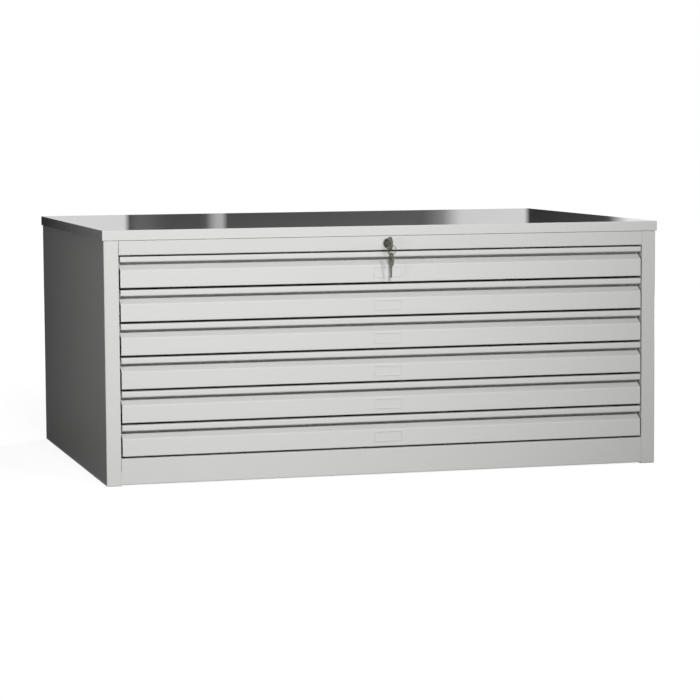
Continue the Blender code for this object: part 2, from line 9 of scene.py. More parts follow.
import bmesh
import bpy
from mathutils import Matrix, Vector


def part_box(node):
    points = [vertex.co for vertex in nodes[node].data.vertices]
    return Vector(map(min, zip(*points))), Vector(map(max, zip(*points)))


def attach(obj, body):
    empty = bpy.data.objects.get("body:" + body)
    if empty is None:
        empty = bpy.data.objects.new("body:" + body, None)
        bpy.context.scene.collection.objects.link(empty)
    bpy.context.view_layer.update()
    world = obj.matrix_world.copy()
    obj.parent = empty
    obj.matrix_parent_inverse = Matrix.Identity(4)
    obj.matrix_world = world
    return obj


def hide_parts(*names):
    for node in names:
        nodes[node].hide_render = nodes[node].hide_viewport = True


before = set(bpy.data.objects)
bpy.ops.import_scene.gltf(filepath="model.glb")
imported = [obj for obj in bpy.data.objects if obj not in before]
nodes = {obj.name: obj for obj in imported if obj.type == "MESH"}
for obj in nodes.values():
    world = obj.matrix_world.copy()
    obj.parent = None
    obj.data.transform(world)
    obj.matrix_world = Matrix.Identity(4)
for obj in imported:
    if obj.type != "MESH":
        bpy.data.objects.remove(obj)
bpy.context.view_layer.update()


# The studio: a long lens from the left of the chest, over a white floor that keeps a soft shadow. A small
# softbox and a spot light the front, a second spot the left side, two softboxes the back and the right end.
# Painted reflections: cards that only gloss sees glow in strips behind and beside the chest, as bands on the
# cover.
camera_place = Vector((-1.229, -4.5635, 0.6207))
camera_yaw = math.radians(15.311)
camera_pitch = math.radians(5.203)
camera_roll = math.radians(-0.357)
focal_pixels = 2546.7
frame_pixels = 700
sensor_width = 36.0
quarter_turn = math.radians(90)


def placed(name, data):
    """A new object, linked to the scene."""
    made = bpy.data.objects.new(name, data)
    bpy.context.scene.collection.objects.link(made)
    return made


forward = Vector((
    math.sin(camera_yaw) * math.cos(camera_pitch),
    math.cos(camera_yaw) * math.cos(camera_pitch),
    -math.sin(camera_pitch),
))
level_right = Vector((math.cos(camera_yaw), -math.sin(camera_yaw), 0))
level_up = level_right.cross(forward)
camera_right = level_right * math.cos(camera_roll) + level_up * math.sin(camera_roll)
camera_up = camera_right.cross(forward)
lens = bpy.data.cameras.new("long_lens")
lens.sensor_width = sensor_width
lens.lens = sensor_width * focal_pixels / frame_pixels
camera = placed("long_lens", lens)
turn = Matrix((camera_right, camera_up, -forward)).transposed().to_4x4()
camera.matrix_world = Matrix.Translation(camera_place) @ turn
bpy.context.scene.camera = camera
bpy.context.scene.view_settings.view_transform = "Standard"


class Value:
    """A socket of a tree. Operators on it add Math nodes, so that a mask reads as a sum."""

    def __init__(self, shader, socket):
        self.shader = shader
        self.socket = socket

    def math(self, operation, *parts):
        return self.shader.node("ShaderNodeMath", {"operation": operation}, dict(enumerate(parts)))

    def __add__(self, other):
        return self.math("ADD", self, other)

    def __sub__(self, other):
        return self.math("SUBTRACT", self, other)

    def __rsub__(self, other):
        return self.math("SUBTRACT", other, self)

    def __mul__(self, other):
        return self.math("MULTIPLY", self, other)

    def __truediv__(self, other):
        return self.math("DIVIDE", self, other)

    def __rtruediv__(self, other):
        return self.math("DIVIDE", other, self)

    __radd__ = __add__
    __rmul__ = __mul__


def grey(level):
    """A neutral colour, as a socket takes it."""
    return (level, level, level, 1)


class Shader:
    """The node tree of a material or of the world."""

    def __init__(self, owner):
        owner.use_nodes = True
        self.tree = owner.node_tree
        self.tree.nodes.clear()

    def node(self, kind, settings=None, sockets=None, out=0):
        """Adds a node: its settings first, then a value or a link for each socket. Gives back one output."""
        made = self.tree.nodes.new(kind)
        for name, value in (settings or {}).items():
            if name == "stops":
                for number, (place, shade) in enumerate(value):
                    stops = made.color_ramp.elements
                    stop = stops[number] if number < 2 else stops.new(place)
                    stop.position = place
                    stop.color = grey(shade)
            else:
                setattr(made, name, value)
        for name, value in (sockets or {}).items():
            if isinstance(value, Value):
                self.tree.links.new(value.socket, made.inputs[name])
            else:
                made.inputs[name].default_value = value
        return Value(self, made.outputs[out]) if len(made.outputs) else None

    def noise(self, place, scale, detail):
        return self.node("ShaderNodeTexNoise", {}, {"Vector": place, "Scale": scale, "Detail": detail})

    def clouded(self, factor, shade, tones):
        """A colour that shifts between a darker and a lighter tone of one shade."""
        first, second = ((*(part * tone for part in shade), 1) for tone in tones)
        return self.node("ShaderNodeMix", {"data_type": "RGBA"}, {0: factor, 6: first, 7: second}, 2)

    def seen(self):
        """1 where the camera, a glossy surface or glass looks, and 0 where scattered light lands."""
        kinds = ("Camera", "Glossy", "Transmission")
        eye, gloss, glass = (self.node("ShaderNodeLightPath", out=f"Is {kind} Ray") for kind in kinds)
        return eye.math("MAXIMUM", eye.math("MAXIMUM", eye, gloss), glass)


world_white = 1.0
world_fill = 0.03
world = bpy.data.worlds.new("white_studio")
bpy.context.scene.world = world
shader = Shader(world)
clear = shader.node("ShaderNodeBackground", {}, {"Color": grey(1), "Strength": world_white})
dim = shader.node("ShaderNodeBackground", {}, {"Color": grey(1), "Strength": world_fill})
both = shader.node("ShaderNodeMixShader", {}, {0: shader.seen(), 1: dim, 2: clear})
shader.node("ShaderNodeOutputWorld", {}, {"Surface": both})


def stage_sheet(name, low, high, material):
    """A flat sheet of the set between two corners, lying or standing."""
    low = Vector(low)
    high = Vector(high)
    bm = bmesh.new()
    bmesh.ops.create_grid(bm, x_segments=1, y_segments=1, size=0.5)
    if high.z > low.z:
        bmesh.ops.rotate(bm, matrix=Matrix.Rotation(quarter_turn, 3, "X"), verts=bm.verts)
    bmesh.ops.scale(bm, vec=high - low, verts=bm.verts)
    bmesh.ops.translate(bm, vec=(low + high) / 2, verts=bm.verts)
    mesh = bpy.data.meshes.new(name)
    bm.to_mesh(mesh)
    bm.free()
    mesh.materials.append(material)
    sheet = placed(name, mesh)
    return sheet


floor_glow = 0.86
floor_glow_reach = 3.0
floor_white = 0.24
floor_bounce = 0.14
floor_half = 30.0
floor_drop = 0.0002

white_floor = bpy.data.materials.new("white_floor")
shader = Shader(white_floor)
place = shader.node("ShaderNodeTexCoord", out="Object")
away = shader.node("ShaderNodeVectorMath", {"operation": "LENGTH"}, {0: place}, "Value") / floor_glow_reach
strength = floor_glow + (1 - floor_glow) * away.math("MINIMUM", away, 1)
glow = shader.node("ShaderNodeEmission", {}, {"Color": grey(1), "Strength": strength})
matt = shader.node("ShaderNodeBsdfDiffuse", {}, {"Color": grey(floor_white)})
lit = shader.node("ShaderNodeAddShader", {}, {0: glow, 1: matt})
dim = shader.node("ShaderNodeBsdfDiffuse", {}, {"Color": grey(floor_bounce)})
both = shader.node("ShaderNodeMixShader", {}, {0: shader.seen(), 1: dim, 2: lit})
shader.node("ShaderNodeOutputMaterial", {}, {"Surface": both})
floor_corner = Vector((floor_half, floor_half, -floor_drop))
stage_sheet("floor", (-floor_half, -floor_half, -floor_drop), floor_corner, white_floor)

# the strips of painted reflection on each card from its left to its right end, each stop its place and its
# shade
back_reflection_strips = [
    (-1.2, 0.66), (0.0608, 0.66), (0.0622, 0.04), (0.085, 0.10), (0.12, 0.09), (0.17, 0.05), (0.28, 0.05),
    (0.296, 0.13), (0.3045, 0.40), (0.3366, 0.40), (0.3377, 0.05), (0.93, 0.08), (0.985, 0.20), (1.04, 0.60),
    (1.2442, 0.64), (1.2456, 0.008), (1.50, 0.03), (1.56, 0.8), (2.8, 0.8),
]
side_reflection_strips = [(-1.7, 0.13), (-0.66, 0.13), (-0.55, 0.02), (-0.50, 0.0)]
mat_reflection_strips = [(-1.9, 0.02), (-0.50, 0.02)]
back_sheet_place = 2.5
back_sheet_height = 1.6
side_card_place = 0.62
side_card_height = 1.0
side_mat_front = -0.45


def reflection_card(name, strips, low, high):
    """A glowing card of the set, seen only by glossy paint: strips of painted reflection in different
    shades.
    """
    made = bpy.data.materials.new(name)
    shader = Shader(made)
    across = shader.node("ShaderNodeSeparateXYZ", {}, {0: shader.node("ShaderNodeTexCoord", out="Object")})
    left = strips[0][0]
    wide = strips[-1][0] - left
    stops = [((place - left) / wide, shade) for place, shade in strips]
    level = shader.node("ShaderNodeValToRGB", {"stops": stops}, {0: (across - left) / wide})
    glow = shader.node("ShaderNodeEmission", {}, {"Color": grey(1), "Strength": level})
    shader.node("ShaderNodeOutputMaterial", {}, {"Surface": glow})
    card = stage_sheet(name, (left, *low), (left + wide, *high), made)
    card.visible_camera = False
    card.visible_diffuse = False
    card.visible_transmission = False
    card.visible_shadow = False


# painted reflections: bright and dark bands on the cover, and the left side and its skirt darker towards the
# back
reflection_card("back_sheet", back_reflection_strips, (back_sheet_place, 0), (back_sheet_place, back_sheet_height))
reflection_card("side_card", side_reflection_strips, (side_card_place, 0), (side_card_place, side_card_height))
reflection_card("side_mat", mat_reflection_strips, (side_mat_front, 0), (side_card_place, 0))


def hang_lamp(name, data, place, target, power):
    """Puts a lamp in its place, turned to its target, and hides it from the camera and from gloss."""
    data.energy = power
    lamp = placed(name, data)
    lamp.location = place
    lamp.rotation_euler = (Vector(target) - Vector(place)).to_track_quat("-Z", "Y").to_euler()
    lamp.visible_camera = False
    lamp.visible_glossy = False


def softbox(name, place, target, size, power):
    """A rectangular lamp."""
    data = bpy.data.lights.new(name, "AREA")
    data.shape = "RECTANGLE"
    data.size, data.size_y = size
    hang_lamp(name, data, place, target, power)


def spot_lamp(name, place, target, cone, softness, power):
    """A lamp whose light fades from the middle of its cone to the edge."""
    data = bpy.data.lights.new(name, "SPOT")
    data.spot_size = math.radians(cone)
    data.spot_blend = 1.0
    data.shadow_soft_size = softness
    hang_lamp(name, data, place, target, power)


softbox("key_lamp", place=(0.86, -3.2, 1.50), target=(0.0, -0.33, 0.30), size=(0.22, 0.22), power=26.0)
softbox("rear_lamp", place=(2.9, 3.1, 0.8), target=(0.0, 0.36, 0.2), size=(1.2, 0.8), power=170.0)
softbox("far_lamp", place=(3.0, -0.6, 1.2), target=(0.5, 0.0, 0.2), size=(1.0, 1.0), power=10.0)
spot_lamp(
    "left_lamp", place=(-0.5, -3.3, 1.58), target=(-0.38, -0.33, 0.60), cone=48, softness=0.30, power=350.0,
)
spot_lamp(
    "side_lamp", place=(-2.2, -2.0, 0.7), target=(-0.7, -0.8, 0.3), cone=44, softness=0.15, power=32.0,
)


# Top cover: a lid folded from 1.2 mm sheet steel, with a 17 mm skirt all round, its corners welded and
# dressed. It is dropped over the body and powder coated light grey, a little glossier than the fronts.
cover_sheet = 0.0012
fold_radius = 0.0016
fold_steps = 5
fold_angle = math.radians(25)

# the film: each noise by its scale and its detail, then how far tone, peel and sheen follow them
cloud_noise = (4.0, 3.0)
grain_noise = (260.0, 2.0)
peel_noise = (620.0, 1.0)
paint_tones = (0.965, 1.035)
peel_share = 0.75
peel_strength = 0.18
peel_depth = 0.00002
sheen_spread = 0.10
sheen_cloud_share = 0.6
paint_ior = 1.5
coat_roughness = 0.045


def paint(name, shade, roughness, coat=0.0):
    """Powder coat on steel: nearly one grey, with the faint clouding and orange peel of a sprayed film."""
    made = bpy.data.materials.new(name)
    shader = Shader(made)
    place = shader.node("ShaderNodeTexCoord", out="Object")
    cloud = shader.noise(place, *cloud_noise)
    grain = shader.noise(place, *grain_noise)
    peel = shader.noise(place, *peel_noise)
    colour = shader.clouded(0.5 * cloud + 0.5 * grain, shade, paint_tones)
    height = peel_share * peel + (1 - peel_share) * grain
    bump = shader.node("ShaderNodeBump", {}, {
        "Strength": peel_strength, "Distance": peel_depth, "Height": height,
    })
    spread = sheen_cloud_share * cloud + (1 - sheen_cloud_share) * grain
    surface = shader.node("ShaderNodeBsdfPrincipled", {}, {
        "Base Color": colour, "Roughness": roughness - sheen_spread / 2 + sheen_spread * spread,
        "Normal": bump, "IOR": paint_ior, "Coat Weight": coat, "Coat Roughness": coat_roughness,
    })
    shader.node("ShaderNodeOutputMaterial", {}, {"Surface": surface})
    return made


cover_paint = paint("cover_grey", (0.62, 0.62, 0.61), roughness=0.14, coat=1.0)


def plain_piece(made, name):
    """The object with its modifiers worked in: one plain mesh, at the origin."""
    bpy.context.view_layer.update()
    graph = bpy.context.evaluated_depsgraph_get()
    ready = made.evaluated_get(graph)
    mesh = bpy.data.meshes.new_from_object(ready, preserve_all_data_layers=True, depsgraph=graph)
    mesh.transform(made.matrix_world)
    bpy.data.objects.remove(made)
    return placed(name, mesh)


def loose_object(bm, name):
    """A scene object made from a bmesh, which is freed."""
    mesh = bpy.data.meshes.new(name)
    bm.to_mesh(mesh)
    bm.free()
    return placed(name, mesh)


def soft_shade(piece):
    """Smooth shading that keeps sharp edges sharp and flat faces flat."""
    piece.data.shade_smooth()
    piece.data.set_sharp_from_angle(angle=fold_angle)


def fold_sheet(bm, name, sheet, material):
    """Bends the edges of an open surface to a round fold, and gives it the thickness of its sheet."""
    made = loose_object(bm, name)
    bend = made.modifiers.new("bends", "BEVEL")
    bend.width = fold_radius
    bend.segments = fold_steps
    bend.limit_method = "ANGLE"
    bend.angle_limit = fold_angle
    wall = made.modifiers.new("sheet", "SOLIDIFY")
    wall.thickness = sheet
    wall.offset = -1
    wall.use_even_offset = True
    level = made.modifiers.new("flats", "WEIGHTED_NORMAL")
    level.keep_sharp = True
    soft_shade(made)
    piece = plain_piece(made, name)
    piece.data.materials.clear()
    piece.data.materials.append(material)
    return piece


def settle(piece, body, slot, *replaced):
    """Puts a finished piece on its body and hides the nodes it stands for. Its slot is not used."""
    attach(piece, body)
    if replaced:
        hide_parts(*replaced)


low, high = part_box("top_cover")
bm = bmesh.new()
bmesh.ops.create_cube(bm, size=1)
bmesh.ops.scale(bm, vec=high - low, verts=bm.verts)
bmesh.ops.translate(bm, vec=(low + high) / 2, verts=bm.verts)
bm.normal_update()
bmesh.ops.delete(bm, geom=[face for face in bm.faces if face.normal.z < -0.5], context="FACES")
cover = fold_sheet(bm, "cover", cover_sheet, cover_paint)
settle(cover, "cabinet", "cover_paint", "top_cover")


# Carcass: folded sides whose front edges are the posts, the rail and plinth between them, the back and the
# shelf. All are 1.2 mm sheet steel in the same grey. Blind rivets hold the back to the sides' rear edges.
carcass_nodes = (
    "left_side_panel", "right_side_panel", "back_panel", "bottom_panel", "plinth", "top_rail", "rear_rail",
    "left_rear_upright", "right_rear_upright",
)
carcass_grey = paint("carcass_grey", (0.62, 0.62, 0.61), roughness=0.42)


def coat_node(node, finish):
    """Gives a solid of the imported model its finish, and leaves its shape alone."""
    for slot in nodes[node].material_slots:
        slot.material = finish


for node in carcass_nodes:
    coat_node(node, carcass_grey)

sides = {"left": -1, "right": 1}
merge_distance = 0.00001
rivet_radius = 0.004
rivet_profile = [
    (0, -0.0006), (rivet_radius, -0.0006), (rivet_radius, 0.0002), (0.0034, 0.0007), (0.0024, 0.0011),
    (0.0016, 0.0012), (0.0013, 0.0009), (0.0011, 0.0005), (0, 0.0004),
]
rivet_facets = 24
rivet_count = 5
rivet_step = 0.078
rivet_start = 0.055
rivet_side = 0.486


class Pattern(Shader):
    """A Geometry Nodes tree with an input for each size. It ends in real geometry with its material."""

    def __init__(self, name, sizes):
        self.tree = bpy.data.node_groups.new(name, "GeometryNodeTree")
        sockets = self.tree.interface
        sockets.new_socket("Geometry", in_out="OUTPUT", socket_type="NodeSocketGeometry")
        sockets.new_socket("Geometry", in_out="INPUT", socket_type="NodeSocketGeometry")
        self.names = {}
        for label, kind in {**sizes, "Finish": "Material"}.items():
            made = sockets.new_socket(label, in_out="INPUT", socket_type=f"NodeSocket{kind}")
            self.names[label] = made.identifier
        self.given = self.tree.nodes.new("NodeGroupInput")

    def size(self, label):
        return Value(self, self.given.outputs[label])

    def end(self, geometry):
        """Makes the geometry real, gives it its finish and hands it out."""
        real = self.node("GeometryNodeRealizeInstances", {}, {0: geometry})
        inputs = {"Geometry": real, "Material": self.size("Finish")}
        finished = self.node("GeometryNodeSetMaterial", {}, inputs)
        result = self.tree.nodes.new("NodeGroupOutput")
        self.tree.links.new(finished.socket, result.inputs[0])

    def grow(self, name, place, sizes):
        """A plain mesh of the pattern with these sizes, put in its place."""
        made = loose_object(bmesh.new(), name)
        made.matrix_world = place
        modifier = made.modifiers.new(name, "NODES")
        modifier.node_group = self.tree
        for label, value in sizes.items():
            modifier[self.names[label]] = value
        piece = plain_piece(made, name)
        soft_shade(piece)
        return piece


def turned(name, profile, place, material, facets, ring=False):
    """A round piece: half of its section, as points of radius and height, turned about its own axis."""
    bm = bmesh.new()
    line = [bm.verts.new((radius, 0, height)) for radius, height in profile]
    edges = [bm.edges.new(pair) for pair in zip(line, line[1:])]
    if ring:
        edges.append(bm.edges.new((line[-1], line[0])))
    bmesh.ops.spin(
        bm, geom=line + edges, axis=(0, 0, 1), cent=(0, 0, 0), steps=facets, angle=math.tau,
    )
    bmesh.ops.remove_doubles(bm, verts=bm.verts, dist=merge_distance)
    bmesh.ops.recalc_face_normals(bm, faces=bm.faces)
    bm.transform(place)
    piece = loose_object(bm, name)
    piece.data.materials.append(material)
    soft_shade(piece)
    return piece


rivet_row = Pattern("rivet_row", {"Rivet": "Object", "Count": "Int", "Step": "Float"})
offset = rivet_row.node("ShaderNodeCombineXYZ", {}, {"Y": rivet_row.size("Step")})
row = rivet_row.node("GeometryNodeMeshLine", {}, {"Count": rivet_row.size("Count"), "Offset": offset})
rivet = rivet_row.node("GeometryNodeObjectInfo", {}, {"Object": rivet_row.size("Rivet")}, "Geometry")
rivet_row.end(rivet_row.node("GeometryNodeInstanceOnPoints", {}, {"Points": row, "Instance": rivet}))

low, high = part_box("left_side_panel")
one_rivet = turned("rivet", rivet_profile, Matrix(), carcass_grey, rivet_facets)
front_facing = Matrix.Rotation(quarter_turn, 4, "X")
back_facing = Matrix.Rotation(2 * quarter_turn, 4, "Z") @ front_facing
for side_name, side in sides.items():
    place = Matrix.Translation((side * rivet_side, high.y, rivet_start)) @ back_facing
    rivets = rivet_row.grow(f"{side_name}_rivets", place, {
        "Rivet": one_rivet, "Count": rivet_count, "Step": rivet_step, "Finish": carcass_grey,
    })
    settle(rivets, "cabinet", "frame_paint")
bpy.data.objects.remove(one_rivet)


# Drawer fronts: each is one sheet, folded into a flat face, a sloping groove for the fingers and the lip
# that they pull. Pans: folded trays behind the fronts. Both are steel in the same coat.
drawer_numbers = range(1, 7)
drawer_sheet = 0.001
flat_height = 0.0300
groove_depth = 0.016
groove_rise = 0.0093
lip_rise = 0.0432
lip_return = 0.004
front_return = 0.014
drawer_grey = paint("drawer_grey", (0.64, 0.64, 0.63), roughness=0.42)


def add_folds(bm, line, reach, visible):
    """Adds an open folded strip: its section pulled along reach, with its first face towards visible."""
    start = [bm.verts.new(point) for point in line]
    edges = [bm.edges.new(pair) for pair in zip(start, start[1:])]
    pulled = bmesh.ops.extrude_edge_only(bm, edges=edges)["geom"]
    far_end = [item for item in pulled if isinstance(item, bmesh.types.BMVert)]
    faces = [item for item in pulled if isinstance(item, bmesh.types.BMFace)]
    bmesh.ops.translate(bm, vec=reach, verts=far_end)
    bmesh.ops.recalc_face_normals(bm, faces=faces)
    first = next(face for face in faces if start[0] in face.verts)
    first.normal_update()
    if first.normal.dot(Vector(visible)) < 0:
        bmesh.ops.reverse_faces(bm, faces=faces)


for number in drawer_numbers:
    low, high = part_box(f"drawer_{number}_front")
    inner = low.y + drawer_sheet
    deep = low.y + groove_depth
    ceiling = high.z - drawer_sheet
    lip_bottom = low.z + lip_rise + drawer_sheet
    profile = [
        (low.y + front_return, low.z),
        (low.y, low.z),
        (low.y, low.z + flat_height),
        (deep, low.z + flat_height + groove_rise),
        (deep, ceiling),
        (inner, ceiling),
        (inner, lip_bottom),
        (inner + lip_return, lip_bottom),
    ]
    bm = bmesh.new()
    add_folds(bm, [(low.x, y, z) for y, z in profile], (high.x - low.x, 0, 0), (0, 0, -1))
    front = fold_sheet(bm, f"front_{number}", drawer_sheet, drawer_grey)
    settle(front, f"drawer_{number}", "drawer_paint", f"drawer_{number}_front")
    coat_node(f"drawer_{number}_pan", drawer_grey)


# Card holders: thin frames pressed from strip, one glued to the middle of each drawer's face and sprayed
# with it, so that only their edges show. A paper card can slide in behind the rim.
holder_rim = 0.0016
holder_thickness = 0.0007
holder_corner = 0.0012
holder_round = 0.00025
corner_steps = 3


def rounded_rectangle(pattern, *labels):
    """A closed curve. The labels name the tree's inputs for its width, height and corner radius."""
    width, height, corner = (pattern.size(label) for label in labels)
    flat = pattern.node("GeometryNodeCurvePrimitiveQuadrilateral", {}, {"Width": width, "Height": height})
    return pattern.node("GeometryNodeFilletCurve", {"mode": "POLY"}, {
        "Curve": flat, "Count": corner_steps, "Radius": corner, "Limit Radius": True,
    })


frame_inputs = ("Width", "Height", "Corner", "Rim", "Thickness", "Round")
card_frame = Pattern("card_frame", dict.fromkeys(frame_inputs, "Float"))
path = rounded_rectangle(card_frame, "Width", "Height", "Corner")
section = rounded_rectangle(card_frame, "Rim", "Thickness", "Round")
card_frame.end(card_frame.node("GeometryNodeCurveToMesh", {}, {"Curve": path, "Profile Curve": section}))

for number in drawer_numbers:
    low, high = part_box(f"drawer_{number}_label_holder")
    middle = (low + high) / 2
    middle.y = high.y - holder_thickness / 2
    holder = card_frame.grow(f"card_holder_{number}", Matrix.Translation(middle) @ front_facing, {
        "Width": high.x - low.x - holder_rim, "Height": high.z - low.z - holder_rim, "Corner": holder_corner,
        "Rim": holder_rim, "Thickness": holder_thickness, "Round": holder_round, "Finish": drawer_grey,
    })
    settle(holder, f"drawer_{number}", "drawer_paint", f"drawer_{number}_label_holder")


# Runners: channels on the carcass and angles on the pans, folded from zinc-plated strip. Each has one
# nylon roller on a riveted axle, at the front of the channel and at the back of the angle.
runner_sheet = 0.0012
runner_web = 0.016
roller_inset = 0.014
channel_roller = 0.009
angle_roller = 0.008
roller_gap = 0.0015
roller_seat = 0.0003
roller_edge = 0.0008
roller_recess = 0.0004
roller_facets = 32
axle_radius = 0.002
axle_head = 0.0034
axle_facets = 24

# the uncoated finishes: a cloud of tone, and a grain that is finer by this ratio
fine_ratio = 9
cloud_detail = 3.0
fine_detail = 2.0
cloud_share = 0.6
metal_tones = (0.86, 1.1)
metal_spread = 0.12
fine_strength = 0.15
fine_depth = 0.00002


def uncoated(name, shade, roughness, grain, metallic=1.0):
    """Plated metal, or nylon where metallic is 0: small shifts of tone, which the roughness follows."""
    made = bpy.data.materials.new(name)
    shader = Shader(made)
    place = shader.node("ShaderNodeTexCoord", out="Object")
    cloud = shader.noise(place, grain, cloud_detail)
    fine = shader.noise(place, grain * fine_ratio, fine_detail)
    tone = cloud_share * cloud + (1 - cloud_share) * fine
    colour = shader.clouded(tone, shade, metal_tones)
    bump = shader.node("ShaderNodeBump", {}, {
        "Strength": fine_strength, "Distance": fine_depth, "Height": fine,
    })
    surface = shader.node("ShaderNodeBsdfPrincipled", {}, {
        "Base Color": colour, "Roughness": roughness - metal_spread / 2 + metal_spread * tone,
        "Metallic": metallic, "Normal": bump,
    })
    shader.node("ShaderNodeOutputMaterial", {}, {"Surface": surface})
    return made


zinc = uncoated("runner_zinc", (0.60, 0.61, 0.63), roughness=0.36, grain=90.0)
nylon = uncoated("nylon", (0.70, 0.69, 0.65), roughness=0.42, grain=60.0, metallic=0.0)


def roller(name, side, root, near, far, radius, y, z):
    """A roller with a recess in each face, and its axle, headed at the end away from its sheet at root."""
    axis = Matrix.Translation((0, y, z)) @ Matrix.Rotation(quarter_turn, 4, "Y")
    hub = radius - 3 * roller_edge
    inner = radius - 2 * roller_edge
    outer = radius - roller_edge
    profile = [
        (axle_head, near + roller_recess), (hub, near + roller_recess), (inner, near), (outer, near),
        (radius, near + roller_edge), (radius, far - roller_edge), (outer, far), (inner, far),
        (hub, far - roller_recess), (axle_head, far - roller_recess),
    ]
    wheel = turned(name, [(r, side * x) for r, x in profile], axis, nylon, roller_facets, True)
    free = far if abs(root - near) < abs(root - far) else near
    turn_in = math.copysign(roller_recess, root - free)
    pin = [
        (0, root), (axle_radius, root), (axle_radius, free + 3 * turn_in), (axle_head, free + 2 * turn_in),
        (axle_head, free + turn_in), (axle_head - roller_recess, free), (0, free),
    ]
    axle = turned(f"{name}_axle", [(r, side * x) for r, x in pin], axis, zinc, axle_facets)
    return wheel, axle


def joined(name, parts):
    """One piece from several finished ones, which keeps their materials."""
    bm = bmesh.new()
    finishes = []
    for part in parts:
        finish = part.data.materials[0]
        if finish not in finishes:
            finishes.append(finish)
        for polygon in part.data.polygons:
            polygon.material_index = finishes.index(finish)
        bm.from_mesh(part.data)
        bpy.data.objects.remove(part)
    piece = loose_object(bm, name)
    for finish in finishes:
        piece.data.materials.append(finish)
    soft_shade(piece)
    return piece


for number in drawer_numbers:
    channels = bmesh.new()
    angles = bmesh.new()
    fixed = []
    moving = []
    for side_name, side in sides.items():
        low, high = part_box(f"cabinet_{number}_{side_name}_runner")
        inside, outside = sorted((abs(low.x), abs(high.x)))
        line = [(inside, low.z), (outside, low.z), (outside, high.z), (inside, high.z)]
        add_folds(channels, [(side * x, low.y, z) for x, z in line], (0, high.y - low.y, 0), (0, 0, -1))
        web = outside - runner_sheet
        fixed += roller(
            f"wheel_{side_name}", side, root=web, near=inside + roller_gap, far=web - roller_gap,
            radius=channel_roller, y=low.y + roller_inset,
            z=low.z + runner_sheet + roller_seat + channel_roller,
        )
        channel_inside = inside
        low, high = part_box(f"drawer_{number}_{side_name}_runner")
        inside, outside = sorted((abs(low.x), abs(high.x)))
        line = [(inside, high.z - runner_web), (inside, high.z), (outside, high.z)]
        add_folds(angles, [(side * x, low.y, z) for x, z in line], (0, high.y - low.y, 0), (-side, 0, 0))
        moving += roller(
            f"wheel_{side_name}", side, root=inside + runner_sheet, near=channel_inside + roller_seat,
            far=outside, radius=angle_roller, y=high.y - roller_inset, z=low.z + angle_roller,
        )
    for name, body, sheets, wheels in (
        ("cabinet", "cabinet", channels, fixed), ("drawer", f"drawer_{number}", angles, moving),
    ):
        strips = fold_sheet(sheets, f"{name}_strips", runner_sheet, zinc)
        runners = joined(f"{name}_{number}_runners", [strips, *wheels])
        settle(runners, body, "runner_zinc", *(f"{name}_{number}_{side_name}_runner" for side_name in sides))


# Lock: a nickel-plated cylinder lock through the top rail, held by its nut. Its head is turned with a
# rounded rim and a shallow dish round the plug. Its cam and the locking bar are zinc-plated steel.
head_thickness = 0.0025
head_radius = 0.009
barrel_radius = 0.007
barrel_length = 0.02
bore_radius = 0.0053
head_profile = [
    (bore_radius, 0.0006), (0.0058, 0.0007), (0.0066, 0.0018), (0.0073, head_thickness),
    (0.0081, head_thickness), (0.0086, 0.00225), (head_radius, 0.0016), (head_radius, 0),
    (barrel_radius, 0), (barrel_radius, -barrel_length), (bore_radius, -barrel_length),
]
head_facets = 96
# the lock's nickel is darker than plated nickel: painted shade for the dark surroundings its head reflects
nickel = uncoated("lock_nickel", (0.42, 0.41, 0.39), roughness=0.20, grain=150.0)
low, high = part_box("lock_housing")
head_place = Matrix.Translation((0, low.y + head_thickness, (low.z + high.z) / 2)) @ front_facing
head = turned("lock_head", head_profile, head_place, nickel, head_facets, True)
settle(head, "cabinet", "lock_nickel", "lock_housing")
for node, finish in (("lock_plug", nickel), ("lock_nut", nickel), ("lock_cam", zinc), ("locking_bar", zinc)):
    coat_node(node, finish)


# Keys: stamped from nickel-plated steel plate, each with a round bow, a raised rim round it, and cuts along
# one edge of its blade. One stands in the lock, and the spare hangs from it on a split ring.
bow_radius = 0.012
bow_hole_radius = 0.0036
bow_rim = 0.0024
rim_width = 0.0013
plate_thickness = 0.0019
key_thickness = 0.0025
key_bevel = 0.0003
key_bevel_steps = 3
key_bevel_angle = math.radians(45)
collar_length = 0.003
collar_half = 0.0045
blade_length = 0.016
blade_half = 0.0032
blade_tip = 0.0015
cut_depth = 0.0014
cut_depth_shares = (1.0, 0.45, 0.8, 0.3)
arc_steps = 64
hole_offset = bow_radius - bow_rim - bow_hole_radius
# the keys' nickel is far darker than plated nickel: painted shade for the dark surroundings their faces
# reflect
key_nickel = uncoated("key_nickel", (0.18, 0.176, 0.148), roughness=0.38, grain=120.0)


def arc(middle, radius, start, end, steps):
    """Points along part of a circle, whose middle is on the key's long axis."""
    turns = [start + (end - start) * step / steps for step in range(steps + 1)]
    return [(middle + radius * math.cos(turn), radius * math.sin(turn)) for turn in turns]


def key_outline():
    """The key's outline in its own plane, round the middle of its hole, with the blade towards +X."""
    neck = math.asin(collar_half / bow_radius)
    points = arc(hole_offset, bow_radius, neck, math.tau - neck, arc_steps)
    shoulder = hole_offset + bow_radius + collar_length
    tip = shoulder + blade_length
    points += [(shoulder, -collar_half), (shoulder, -blade_half), (tip - blade_tip, -blade_half)]
    points += [(tip, blade_tip - blade_half), (tip, blade_half - blade_tip), (tip - blade_tip, blade_half)]
    pitch = (blade_length - 2 * blade_tip) / len(cut_depth_shares)
    for number, share in enumerate(cut_depth_shares):
        points.append((tip - blade_tip - (number + 1 / 2) * pitch, blade_half - share * cut_depth))
        points.append((tip - blade_tip - (number + 1) * pitch, blade_half))
    return points + [(shoulder, blade_half), (shoulder, collar_half)]


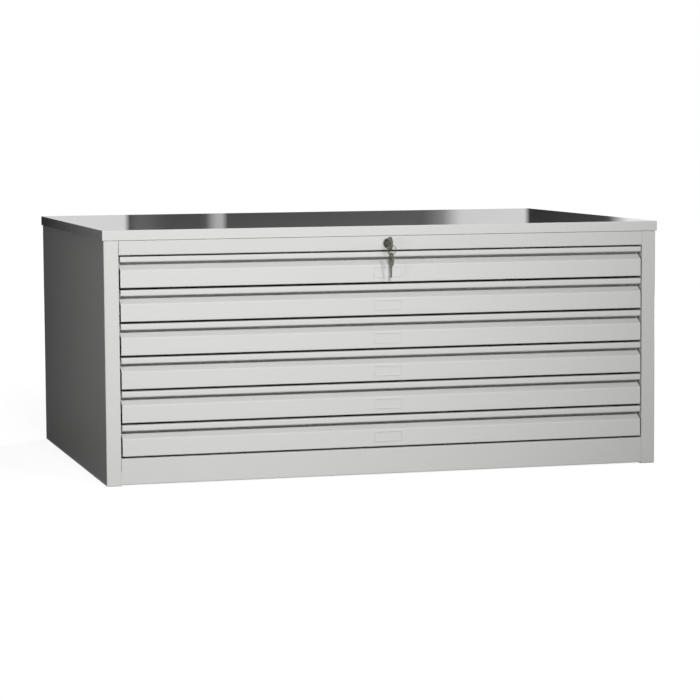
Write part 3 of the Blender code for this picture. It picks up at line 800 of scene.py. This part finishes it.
def key_piece(name, place):
    """A plate with softened edges, and the rim on both its faces."""
    bm = bmesh.new()
    hole_end = math.tau * (arc_steps - 1) / arc_steps
    for points in (key_outline(), arc(0, bow_hole_radius, 0, hole_end, arc_steps - 1)):
        line = [bm.verts.new((x, y, -plate_thickness / 2)) for x, y in points]
        for pair in zip(line, line[1:] + line[:1]):
            bm.edges.new(pair)
    bmesh.ops.triangle_fill(bm, edges=bm.edges[:], use_beauty=True)
    bm.transform(place)
    plate = loose_object(bm, name)
    wall = plate.modifiers.new("plate", "SOLIDIFY")
    wall.thickness = plate_thickness
    wall.offset = 0
    soften = plate.modifiers.new("edges", "BEVEL")
    soften.width = key_bevel
    soften.segments = key_bevel_steps
    soften.limit_method = "ANGLE"
    soften.angle_limit = key_bevel_angle
    plate = plain_piece(plate, name)
    plate.data.materials.append(key_nickel)
    half = key_thickness / 2
    inside = bow_radius - rim_width
    section = [
        (inside, 0), (inside + key_bevel, half), (bow_radius - key_bevel, half),
        (bow_radius, half - key_bevel), (bow_radius, key_bevel - half),
        (bow_radius - key_bevel, -half), (inside + key_bevel, -half),
    ]
    rim_place = place @ Matrix.Translation((hole_offset, 0, 0))
    rim = turned("rim", section, rim_place, key_nickel, arc_steps, True)
    return joined(name, [plate, rim])


low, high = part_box("key")
hole_place = Vector((0, low.y + bow_radius - hole_offset, (low.z + high.z) / 2))
pointing_in = Matrix(((0, 0, 1, 0), (1, 0, 0, 0), (0, 1, 0, 0), (0, 0, 0, 1)))
lock_key = key_piece("key_in_lock", Matrix.Translation(hole_place) @ pointing_in)
settle(lock_key, "lock", "key_nickel", "key")
low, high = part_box("spare_key")
spare_place = Vector((0, (low.y + high.y) / 2, high.z - bow_radius + hole_offset))
pointing_down = Matrix(((0, 0, 1, 0), (0, 1, 0, 0), (-1, 0, 0, 0), (0, 0, 0, 1)))
spare_key = key_piece("key_spare", Matrix.Translation(spare_place) @ pointing_down)
settle(spare_key, "spare_key", "key_nickel", "spare_key")

# the split ring is flat spring wire wound twice round
wire_width = 0.0012
wire_height = 0.00044
wire_pitch = 0.00048
wire_round = 0.00015
ring_turns = 2.0
ring_inputs = ("Radius", "Turns", "Pitch", "Width", "Height", "Round")
ring_coil = Pattern("split_ring", dict.fromkeys(ring_inputs, "Float"))
coil = ring_coil.node("GeometryNodeCurveSpiral", {}, {
    "Resolution": arc_steps, "Rotations": ring_coil.size("Turns"), "Start Radius": ring_coil.size("Radius"),
    "End Radius": ring_coil.size("Radius"), "Height": ring_coil.size("Turns") * ring_coil.size("Pitch"),
})
upright = ring_coil.node("GeometryNodeSetCurveNormal", {"mode": "Z_UP"}, {"Curve": coil})
section = rounded_rectangle(ring_coil, "Width", "Height", "Round")
wound = {"Curve": upright, "Profile Curve": section, "Fill Caps": True}
ring_coil.end(ring_coil.node("GeometryNodeCurveToMesh", {}, wound))
low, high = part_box("key_ring")
ring_radius = (high.x - low.x - (high.y - low.y)) / 2
ring_place = (low + high) / 2
ring_place.y += ring_turns * wire_pitch / 2
ring = ring_coil.grow("split_ring", Matrix.Translation(ring_place) @ front_facing, {
    "Radius": ring_radius, "Turns": ring_turns, "Pitch": wire_pitch, "Width": wire_width,
    "Height": wire_height, "Round": wire_round, "Finish": key_nickel,
})
settle(ring, "key_ring", "key_nickel", "key_ring")
